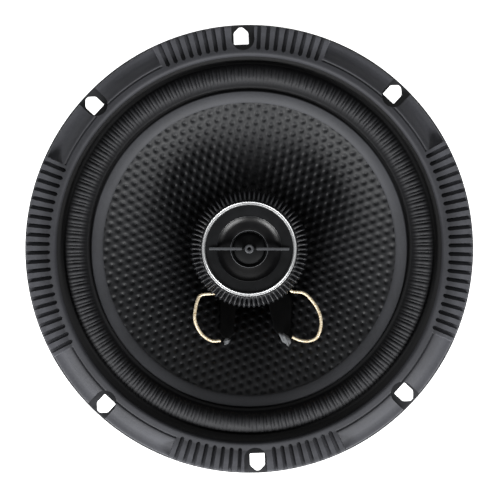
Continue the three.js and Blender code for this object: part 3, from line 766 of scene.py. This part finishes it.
# Cooled solder is a dull uneven grey with a few soft glints.
solder_grey = speckled("dull_solder", "#4c4e51", "#85878a", 0.7, (0.45, 0.65), 0.12, 0.2)
for side, (x, y) in EYELETS.items():
    level = cone_height(math.hypot(x, y))
    foot, head = level - PIN["below"], level + PIN["above"]
    pin = turned(rounded([
        (0, foot), (PIN["radius"], foot, 0.2), (PIN["radius"], head, 0.2), (0, head),
    ]), 32, closed=False)
    blob = bmesh.new()
    bmesh.ops.create_icosphere(blob, subdivisions=4, radius=1)
    size, lean, offset = BLOBS[side]
    for vert in blob.verts:
        p = vert.co.copy()
        lump = (1 + 0.16 * math.sin(3.1 * p.x + 1.3) * math.sin(3.7 * p.y)
                + 0.1 * math.cos(6 * p.y + 4 * p.x))
        vert.co = Vector((p.x * size[0], p.y * size[1], p.z * 1.1)) * lump
    solder = merged(moved(pin, x, y),
                    moved(swung(blob, lean), x + offset[0], y + offset[1], level + 1.1))
    place_piece(as_object(solder, f"soldered_eyelet_{side}", solder_grey, 60),
                "cone", "solder", f"eyelet_{side}")


# ---- Adhesive beads ------------------------------------------------------------------------
# Two flat beads of black rubber adhesive, laid over the cone from under the tweeter out to the
# eyelets. They seal in the voice coil's two wires.

BEADS = {
    "left": {"start": (-8.4, -16.5), "end": (-9.7, -33.2), "widths": (3.0, 2.5)},
    "right": {"start": (10.6, -16), "end": (11.6, -33), "widths": (4.8, 3.2)},
}


def bead_on_cone(start, end, widths, height):
    """A flat bead of adhesive with round ends, lying on the cone between two points."""
    bm = bmesh.new()
    start, end = Vector(start), Vector(end)
    length = (end - start).length
    along = (end - start) / length
    across = Vector((-along.y, along.x))
    last_ring = None
    stations = 40
    for station in range(stations + 1):
        share = 0.5 - 0.5 * math.cos(math.pi * station / stations)
        middle = start.lerp(end, share)
        half_width = widths[0] + (widths[1] - widths[0]) * smoothstep(0, 1, share)
        gap = length * min(share, 1 - share)
        swell = math.sqrt(max(0.02, 1 - max(0.0, 1 - gap / half_width) ** 2))
        ring = bmesh.ops.create_circle(bm, segments=28, radius=1)["verts"]
        for vert in ring:
            lift = vert.co.y * height * swell * (1 if vert.co.y > 0 else 0.3)
            flat = middle + across * vert.co.x * half_width * swell
            vert.co = Vector((flat.x, flat.y, cone_height(flat.length) + 0.1 + lift))
        edges = list({edge for vert in ring for edge in vert.link_edges})
        if last_ring:
            bmesh.ops.bridge_loops(bm, edges=last_ring + edges)
        last_ring = edges
    bmesh.ops.holes_fill(bm, edges=bm.edges, sides=28)
    return bm


# Cured rubber adhesive is the blackest thing on the cone, with hardly any shine.
adhesive = speckled("black_rubber_adhesive", "#060607", "#0a0b0c", 2.5, (0.6, 0.7), 0.03,
                    sockets={"Specular IOR Level": 0.15})
for side, lay in BEADS.items():
    bead = bead_on_cone(lay["start"], lay["end"], lay["widths"], 0.6)
    place_piece(as_object(bead, f"adhesive_bead_{side}", adhesive, 70),
                "cone", "adhesive", f"glue_strip_{side}")


# ---- Surround ------------------------------------------------------------------------------
# Moulded butyl rubber: a landing glued on the cone's rim, a half roll, and a flange under the
# trim. Radial ribs cross the roll, one broad and one narrow in turn, and stop in its gutters.

SURROUND = {"inner": 54.3, "roll_in": 59, "roll_out": 69.6, "outer": 73, "crest": 61.2,
            "rubber": 0.8, "landing": 0.12}
RIB_PERIODS = 150
RIB_RISE = 0.5
RIBBED = (60.3, 68.4)


def roll_level(share):
    """Height of the roll's outer skin across its width, from 0 at the cone to 1 at the basket."""
    gutter = RIM[1] - 0.5 + (FLANGE["top"] + 0.6 - RIM[1]) * share
    across = (share - 0.5) / 0.37
    arch = math.sqrt(max(0.0, 1 - across * across)) ** 0.9
    return gutter + (SURROUND["crest"] - gutter) * arch


def rib(share_round):
    """Height of the ribs round one period, from 0 to 1: a broad rib, then a narrow one."""
    def bump(centre, half):
        away = abs((share_round - centre + 0.5) % 1 - 0.5) / half
        return max(0.0, 1 - away ** 2.4) ** 0.8 if away < 1 else 0.0
    return max(bump(0.3, 0.27), 0.75 * bump(0.79, 0.14))


roll_in, roll_out = SURROUND["roll_in"], SURROUND["roll_out"]
top_skin, under_skin = [], []
for step in range(31):
    share = step / 30 if 4 <= step <= 26 else (0.03 * step if step < 4 else 1 - 0.03 * (30 - step))
    top_skin.append((roll_in + (roll_out - roll_in) * share, roll_level(share)))
for step in range(13):
    share = step / 12
    radius = roll_in + (roll_out - roll_in) * share
    inward = 0.5 - share
    under_skin.append((radius + inward * 2 * SURROUND["rubber"],
                       roll_level(share) - SURROUND["rubber"]))
landing = SURROUND["landing"]
landing_edge = cone_height(SURROUND["inner"])
glue_level, clamped_level = FLANGE["top"] + 0.1, FLANGE["top"] + 0.9
surround_section = [
    (SURROUND["inner"], landing_edge + landing), (RIM[0], RIM[1] + landing), *under_skin,
    (70, glue_level), (SURROUND["outer"], glue_level),
    (SURROUND["outer"], clamped_level), (70.2, clamped_level),
    *reversed(top_skin), (58.65, RIM[1] + 0.4), (RIM[0] + 0.1, RIM[1] + 0.85),
    (54.9, cone_height(54.9) + 0.5), (SURROUND["inner"], landing_edge + 0.35),
]
surround_bm = turned(surround_section, RIB_PERIODS * 10)
for vert in surround_bm.verts:
    radius = math.hypot(vert.co.x, vert.co.y)
    share = (radius - roll_in) / (roll_out - roll_in)
    if 0 < share < 1 and vert.co.z > roll_level(share) - 0.2:
        reach = clamp((radius - RIBBED[0]) / 0.8) * clamp((RIBBED[1] - radius) / 0.8)
        periods = math.degrees(math.atan2(vert.co.y, vert.co.x)) / (360 / RIB_PERIODS)
        number = math.floor(periods)
        wander = 1 + 0.12 * math.sin(number * 12.9) + 0.1 * math.sin(number * 4.7 + radius * 1.3)
        vert.co.z += RIB_RISE * wander * (rib(periods % 1) - 1) * reach ** 0.6
# Moulded butyl is a matt charcoal with a soft sheen, and its landing on the cone is a lighter grey. Across
# the roll, painted shade darkens the gutters and a painted highlight lightens the crest between them.
rubber = speckled("butyl_rubber", "#37383b", "#404145", 0.9, (0.6, 0.7), 0.012,
                  sockets={"Specular IOR Level": 0.35},
                  tone_and_painted_light_zones=[(58.35, "#ffffff"), (58.7, "#646466"), (60.6, "#646466"), (62.3, "#98989a"),
                         (66.2, "#98989a"), (67.9, "#585859"), (71, "#585859")])
surround = as_object(surround_bm, "rolled_surround", rubber, 75)
bend_round(surround)
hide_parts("surround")


# ---- Trim ring -----------------------------------------------------------------------------
# Moulded rubber glued round the flange. Its sides and ends are combed with grooves open to the
# rim, the pads between fall in an S-curve to a flat lip, and U-shaped gaps bare the slots.

TRIM = {"inner": 71.2, "outer": 82.35, "under": FLANGE["top"] + 0.15, "top": 62.1, "lip": 59.0,
        "rebate": 73.3, "rebate_top": 58.3}
RIB_PITCH = 2.4
SIDE_RIBS, END_RIBS = 22, 8
GROOVE = {"half": 0.72, "end": 73.5, "floor": 60.5}
GAP = {"half": 4.2, "end": 73.3, "turn": -0.5}
RIM_TILT = {"slope": 0.17, "start": 72.4, "pivot": 73.3, "end": 74.4}


def groove_angles():
    """The angles of every groove, in degrees."""
    found = []
    for side in (0, 180):
        found += [side + (i - (SIDE_RIBS - 1) / 2) * RIB_PITCH for i in range(SIDE_RIBS)]
    for end in (90, 270):
        for i in range(END_RIBS):
            found += [end + (i + 2) * RIB_PITCH, end - (i + 2) * RIB_PITCH]
    return found


def ribbed(angle):
    """True in the combed sectors at the sides and ends."""
    side = abs((angle + 90) % 180 - 90)
    return side < RIB_PITCH * (SIDE_RIBS / 2 + 0.15) or abs(side - 90) < RIB_PITCH * (END_RIBS + 1.75)


def pad_height(radius):
    """Height of a plain pad: level rim, a fine crease, then an S-curve to the lip."""
    crease = 0.4 * max(0.0, 1 - abs(radius - 74.5) / 0.45)
    fall = 0.85 * smoothstep(75.1, 79.3, radius) + 0.15 * smoothstep(78, 80.9, radius)
    return TRIM["top"] - crease - (TRIM["top"] - TRIM["lip"]) * fall


def groove_half(radius):
    """Half a groove's width at a radius: it starts with a round end."""
    if radius <= GROOVE["end"]:
        return 0.0
    inside = GROOVE["end"] + GROOVE["half"] - radius
    return GROOVE["half"] * math.sqrt(1 - (inside / GROOVE["half"]) ** 2) if inside > 0 else GROOVE["half"]


inner_arc = [(TRIM["inner"] + 1.3 - 1.3 * math.cos(a), TRIM["top"] - 1.3 + 1.3 * math.sin(a))
             for a in (math.pi / 2 * i / 6 for i in range(7))]
top_radii = [73.0, 73.35, 73.5, 73.56, 73.66, 73.8, 73.95, 74.1, 74.25, 74.4, 74.5, 74.62, 74.8,
             75.05, 75.4, 75.9, 76.5, 77.1, 77.7, 78.3, 78.9, 79.5, 80.1, 80.5, 80.8, 81.1, 81.6]
trim_section = [
    (TRIM["rebate"], TRIM["under"]), (TRIM["rebate"], TRIM["rebate_top"]),
    (TRIM["inner"], TRIM["rebate_top"]), *inner_arc, *[(r, TRIM["top"]) for r in top_radii],
    (82.0, TRIM["top"] - 0.06), (82.2, TRIM["top"] - 0.25), (TRIM["outer"], TRIM["top"] - 0.55),
    (TRIM["outer"], 60), (TRIM["outer"], 58.8), (TRIM["outer"], TRIM["under"]),
]
COLUMNS_PER_RIB = 10
trim_bm = turned(trim_section, int(360 / RIB_PITCH) * COLUMNS_PER_RIB)
grooves = groove_angles()
for vert in trim_bm.verts:
    radius = math.hypot(vert.co.x, vert.co.y)
    angle = math.degrees(math.atan2(vert.co.y, vert.co.x))
    height = vert.co.z
    if height > 61:
        vert.co.z -= RIM_TILT["slope"] * (min(RIM_TILT["end"], max(RIM_TILT["start"], radius))
                                          - RIM_TILT["pivot"])
    if not ribbed(angle):
        if height > 61:
            if radius > 73:
                vert.co.z += pad_height(radius) - TRIM["top"]
        elif radius > 82.3 and height > 58:
            vert.co.z = 57.9 + 0.2 * (height - 58.8)
        continue
    nearest = min(grooves, key=lambda g: abs((angle - g + 180) % 360 - 180))
    offset = (angle - nearest + 180) % 360 - 180
    if abs(offset) > RIB_PITCH / 2 + 0.01:
        continue
    column = round(abs(offset) / (RIB_PITCH / COLUMNS_PER_RIB))
    half = groove_half(radius)
    wide = max(half, 0.12)
    edge_low = math.degrees(math.asin(max(wide - 0.05, 0.06) / radius))
    edge_high = math.degrees(math.asin((wide + 0.07) / radius))
    warped = [0, edge_low * 0.6, edge_low, edge_high, max(0.92, edge_high + 0.1), 1.2][column]
    turn = math.radians(nearest + math.copysign(warped, offset))
    vert.co.x, vert.co.y = radius * math.cos(turn), radius * math.sin(turn)
    if half > 0 and column <= 2 and radius > 73 and height > 59.5:
        vert.co.z = GROOVE["floor"] - 0.2 * (TRIM["top"] - height)
gap_outline = [*arc_points((GAP["end"] + GAP["half"], 0), GAP["half"], 90, 270, 24),
               (86, -GAP["half"]), (86, GAP["half"])]
gaps = copies_round(outline_prism(gap_outline, 56.5, 64),
                    [angle + GAP["turn"] for angle in SLOTS["angles"]])
# Moulded trim rubber is a lighter matt charcoal with a faint even grain. Painted shade darkens it on the
# inner rim and most in the crease behind it, fading out towards the lip.
trim_rubber = speckled("moulded_trim_rubber", "#414246", "#505156", 0.7, (0.6, 0.74), 0.02,
                       sockets={"Specular IOR Level": 0.35},
                       tone_and_painted_light_zones=[(73.9, "#bcbcbe"), (74.6, "#a6a6a8"), (76.2, "#bebec0"), (79, "#eeeeef")])
trim = as_object(cut(trim_bm, gaps), "combed_trim_ring", trim_rubber, 32)
place_piece(trim, "basket", "trim_rubber", "front_gasket")


# ---- Tweeter post --------------------------------------------------------------------------
# Moulded nylon column that stands on the pole. A countersunk machine screw comes up through the
# yoke from behind and clamps it.

# Moulded nylon is a dull black with a faint grain.
nylon = speckled("black_nylon", "#141416", "#1d1d20", 0.8, (0.45, 0.6), 0.02)
POST = {"bore": 2.35, "foot": 9.5, "shaft": 5, "low": 26.15, "high": 52}
column = turned([
    (POST["bore"], POST["low"]), (POST["foot"], POST["low"]), (POST["foot"], 28), (6.5, 29.5),
    (POST["shaft"], 32), (POST["shaft"], POST["high"]), (POST["bore"], POST["high"]),
], 64)
place_piece(as_object(column, "tweeter_column", nylon),
            "basket", "black_plastic", "tweeter_post")
screw = turned(rounded([
    (0, 0.9), (1.0, 0.9), (1.0, 0.4), (3.9, 0.4, 0.2), (4.2, 1.0, 0.3), (4.2, 3.4, 0.1),
    (2.0, 3.4, 0.1), (2.0, 40, 0.4), (0, 40),
]), 48, closed=False)
place_piece(as_object(screw, "column_screw", zinc), "basket", "zinc_plate", "tweeter_post_screw")


# ---- Tweeter motor and dome ----------------------------------------------------------------
# A small pot with a neodymium disc and pole plate drives a pressed film dome, whose coil hangs
# in the pot's gap. A moulded ring clamps the dome's edge, and a capacitor lies beside the pot.

TWEETER_TURN = -2.4
DOME_BASE, DOME_RISE = 58.5, 2.2


def tweeter_piece(bm, name, material, body, slot, *nodes, sharp=35):
    """Finishes a tweeter piece, turned with the whole tweeter, and puts it on its body."""
    return place_piece(as_object(swung(bm, TWEETER_TURN), name, material, sharp), body, slot, *nodes)


def disc(radius, low, high, edge, steps):
    """A solid round disc on the axis with rounded edges."""
    return turned(rounded([(0, low), (radius, low, edge), (radius, high, edge), (0, high)]), steps,
                  closed=False)


tweeter_piece(turned(rounded([
    (5.3, 50.3), (13.6, 50.3, 0.3), (15, 51.7, 0.5), (15, 58.4, 0.2), (13.9, 58.4, 0.2),
    (13.9, 52.1, 0.2), (5.3, 52.1),
]), 96), "tweeter_cup", nylon, "basket", "black_plastic", "tweeter_base")
tweeter_piece(turned(rounded([
    (0, 52.3), (9.4, 52.3, 0.5), (9.4, 58.2, 0.2), (7.35, 58.2, 0.2), (7.35, 53.6, 0.2), (0, 53.6),
]), 64, closed=False), "tweeter_pot", zinc, "basket", "zinc_plate", "tweeter_yoke")
# Nickel plate gives a smooth bright grey metal.
neodymium = speckled("nickel_plated_neodymium", "#8f9195", "#b7b9bb", 1.0, (0.2, 0.35), 0.01, 1.0)
tweeter_piece(disc(6, 53.7, 56.4, 0.3, 48), "neodymium_disc", neodymium, "basket", "neodymium",
              "tweeter_magnet")
tweeter_piece(disc(6.25, 56.5, 58, 0.15, 48), "tweeter_pole_disc", zinc, "basket", "zinc_plate",
              "tweeter_pole_plate")
# Shrunk film sleeve is a smooth dark blue.
sleeve = speckled("capacitor_sleeve_film", "#1d2a52", "#24335f", 1.5, (0.3, 0.4), 0.01)
tweeter_piece(moved(disc(2, 52.3, 57.8, 0.3, 32), 0, 11.65), "film_capacitor", sleeve, "basket",
              "capacitor_sleeve", "tweeter_capacitor")

# Lacquered film is a deep black that only shows a faint broad light.
dome_film = speckled("black_dome_film", "#0a0b0c", "#101112", 1.2, (0.6, 0.7), 0.01,
                     sockets={"Specular IOR Level": 0.12})
crown = [(0, 0), (1.4, 0.07), (2.8, 0.27), (4.0, 0.58), (4.9, 0.95), (5.5, 1.35)]
edge_roll = [(5.85, 0.35), (6.1, 0.12), (6.35, 0.5), (6.65, 0.66), (6.95, 0.45), (7.15, 0),
             (7.15, -0.06), (6.35, -0.06), (6.1, 0), (5.6, 0.35)]
underside = [(4.6, 1.3), (2.8, 0.55), (0, 0.3)]
dome_section = [*[(r, DOME_BASE + DOME_RISE - drop) for r, drop in crown],
                *[(r, DOME_BASE + rise) for r, rise in edge_roll],
                *[(r, DOME_BASE + DOME_RISE - drop) for r, drop in underside]]
tweeter_piece(turned(dome_section, 96, closed=False),
              "pressed_dome", dome_film, "tweeter_dome", "dome_film", "tweeter_dome", sharp=60)
tweeter_piece(turned(rounded([(6.5, 56.2), (6.9, 56.2), (6.9, 58.4), (6.5, 58.4)]), 64),
              "dome_coil", copper, "tweeter_dome", "coil_copper", "tweeter_voice_coil")
tweeter_piece(turned(rounded([
    (7.25, 58.35, 0.1), (9.4, 58.35, 0.1), (9.4, 58.85, 0.1), (7.25, 58.85, 0.1),
]), 96), "dome_clamp_ring", nylon, "basket", "black_plastic", "tweeter_diaphragm_ring")


# ---- Tweeter face --------------------------------------------------------------------------
# Gloss ABS moulding: a flat ring round a shallow horn, with a bar across that carries a small
# phase plug in its middle.

FACE = {"radius": 16.1, "seat": 59, "top": 62.2, "mouth": 12}
# Moulded ABS: the ring has a wide soft shine, and the bowl is polished tighter. The bowl's blacker colour
# is painted shade inside the horn.
gloss = speckled("gloss_abs", "#0a0b0c", "#101113", 3.0, (0.44, 0.5), 0.004,
                 sockets={"Specular IOR Level": 0.22})
face_ring = turned(rounded([
    (FACE["mouth"] + 0.1, FACE["seat"]), (FACE["radius"], FACE["seat"], 0.1),
    (FACE["radius"], FACE["top"], 0.3), (FACE["mouth"] + 0.1, FACE["top"] - 0.26, 0.1),
]), 128)
tweeter_piece(face_ring, "face_ring", gloss, "basket", "gloss_plastic", "tweeter_face")
# Same ABS as the ring, with a tighter gloss and a darker colour that is painted shade in the horn.
shaded_bowl_gloss = speckled("gloss_abs_bowl_painted_shade", "#050506", "#080809", 3.0, (0.32, 0.38), 0.004,
                      sockets={"Specular IOR Level": 0.33})
bowl = turned(rounded([
    (6.95, 59.8), (7.3, 59.8), (7.3, FACE["seat"]), (FACE["mouth"] + 0.1, FACE["seat"]),
    (FACE["mouth"] + 0.1, FACE["top"] - 0.35), (11.2, 61.15, 0.4), (10.2, 60.65, 0.5), (9.0, 60.4, 0.5),
    (7.6, 60.2, 0.3), (6.95, 60.05),
]), 128)
tweeter_piece(bowl, "horn_bowl", shaded_bowl_gloss, "basket", "gloss_plastic", sharp=50)
# The bar, plug and throat's lip keep the mould's satin texture, a clear grey on the black. On the throat's
# lip that grey is a painted highlight, a thin line of light round the throat.
satin = speckled("satin_abs", "#3c3d40", "#484a4d", 0.6, (0.4, 0.5), 0.01)
bars = [block((x0, -0.5, 61.8), (x1, 0.5, 62.7), 0.12) for x0, x1 in ((-14.8, -2.7), (2.7, 14.8))]
tweeter_piece(merged(*bars), "horn_bar", satin, "basket", "gloss_plastic")
# The lip's grey is a painted highlight round the throat.
tweeter_piece(turned(rounded([
    (6.72, 59.8), (7.0, 59.8), (7.0, 60.05, 0.05), (6.86, 60.14, 0.08), (6.72, 60.0, 0.05),
]), 96), "throat_lip", satin, "basket", "gloss_plastic", sharp=60)
# The mouth's edge has a tighter gloss than the ring and a slightly lighter colour, a painted highlight, so
# it draws a thin line of light round the bowl.
mouth_highlight_gloss = speckled("abs_edge_painted_highlight", "#0d0e10", "#131417", 3.0, (0.28, 0.34), 0.002)
tweeter_piece(turned([(11.8, 61.5), (12.15, 61.7), (12.15, 62.02), (12.08, 62.02), (11.8, 61.84)], 96),
              "mouth_chamfer", mouth_highlight_gloss, "basket", "gloss_plastic", sharp=60)
tweeter_piece(block((-3.2, -0.35, 61.0), (3.2, 0.35, 61.4), 0.08), "plug_arms", gloss, "basket",
              "gloss_plastic")
plug = turned(rounded([
    (0, 61.2), (1.7, 61.2, 0.2), (1.7, 62.7, 0.5), (0.75, 62.7, 0.15), (0.7, 61.4, 0.1), (0, 61.4),
]), 48, closed=False)
tweeter_piece(plug, "phase_plug", satin, "basket", "gloss_plastic")


# ---- Polished ring -------------------------------------------------------------------------
# Turned aluminium ring with a rounded bead on each side of a shallow valley, pressed over the
# face's edge.


def polished_aluminium():
    """Turned and polished aluminium: mirror bright with faint lathe lines round it."""
    material, tree, principled = shader("polished_aluminium", {
        "Metallic": 1.0, "Base Color": linear("#e4e5e6"), "Roughness": 0.46,
    })
    place = put(tree, "ShaderNodeTexCoord").outputs["Object"]
    lines = put(tree, "ShaderNodeTexWave", {
        "Vector": place, "Scale": 1 / (0.9 * MM), "Distortion": 0.5, "Detail": 2.0,
    }, wave_type="RINGS", rings_direction="Z")
    bump = put(tree, "ShaderNodeBump", {
        "Height": lines.outputs["Fac"], "Distance": 0.01 * MM, "Strength": 0.2,
    })
    tree.links.new(bump.outputs["Normal"], principled.inputs["Normal"])
    return material


trim_ring = turned(rounded([
    (16.2, 59), (17.6, 59), (17.6, 62.35, 0.15), (17.3, 62.95, 0.15), (17.1, 62.8, 0.1),
    (16.75, 62.8, 0.1), (16.6, 63.0, 0.15), (16.2, 62.3, 0.15),
]), 192)
tweeter_piece(trim_ring, "polished_ring", polished_aluminium(), "basket", "polished_aluminium",
              "tweeter_trim_ring", sharp=60)


# ---- Fluted collar -------------------------------------------------------------------------
# Moulded black plastic skirt with 72 fins. Each fin stands up from a sloping gully, and its front
# edge rounds over towards the polished ring.

TEETH = 72
FLANK = {"low": 54, "steps": 16, "pitch": 0.5, "turn_over": 0.45}
# Moulded plastic gives a satin black whose crests catch a thin line of light.
collar_plastic = speckled("black_collar_plastic", "#131417", "#1a1b1e", 1.0, (0.4, 0.5), 0.01)
collar = turned([
    (15.3, 57.4), (17.3, 57.4), (19.4, 54.2),
    *[(21.4 + 0.0001 * i, FLANK["low"] + i * FLANK["pitch"]) for i in range(FLANK["steps"] + 1)],
    (17.9, 62.15), (17.8, 58.7), (15.3, 58.7),
], TEETH * 12)
for vert in collar.verts:
    radius = math.hypot(vert.co.x, vert.co.y)
    if radius < 21.3:
        continue
    turn = (math.degrees(math.atan2(vert.co.y, vert.co.x)) * TEETH / 360) % 1
    crest = smoothstep(0.25, 1.0, abs(math.cos(math.pi * turn)))
    up = (vert.co.z - FLANK["low"]) / (FLANK["steps"] * FLANK["pitch"])
    gully = Vector((21.2 - 2.9 * up, FLANK["low"] + 7.8 * up))
    if up < FLANK["turn_over"]:
        fin = Vector((21.75, FLANK["low"] + up / FLANK["turn_over"] * 5.4))
    else:
        round_share = (up - FLANK["turn_over"]) / (1 - FLANK["turn_over"])
        fin = Vector((21.75 - 3.4 * round_share ** 2.5, 59.4 + 2.7 * (1 - (1 - round_share) ** 2.2)))
    target = gully.lerp(fin, crest)
    vert.co.x *= target.x / radius
    vert.co.y *= target.x / radius
    vert.co.z = target.y
tweeter_piece(collar, "fluted_collar", collar_plastic, "basket", "collar_plastic",
              "tweeter_fluted_collar", sharp=50)


# ---- Tweeter lugs --------------------------------------------------------------------------
# Punched brass tags that stick out under the tweeter cup, one for each lead, with the lead's
# end laid on top and soldered.

LUG = {"root": 7.5, "half": 1.2, "low": 49.65, "high": 50.15, "past_lead": 0.8}
for side in ("left", "right"):
    x, y, _ = LEAD_ROUTES[f"tweeter_lead_{side}"][0]
    lug = block((LUG["root"], -LUG["half"], LUG["low"]),
                (math.hypot(x, y) + LUG["past_lead"], LUG["half"], LUG["high"]), 0.12)
    place_piece(as_object(swung(lug, math.degrees(math.atan2(y, x))), f"brass_lug_{side}", brass),
                "basket", "tab_brass", f"tweeter_lug_{side}")
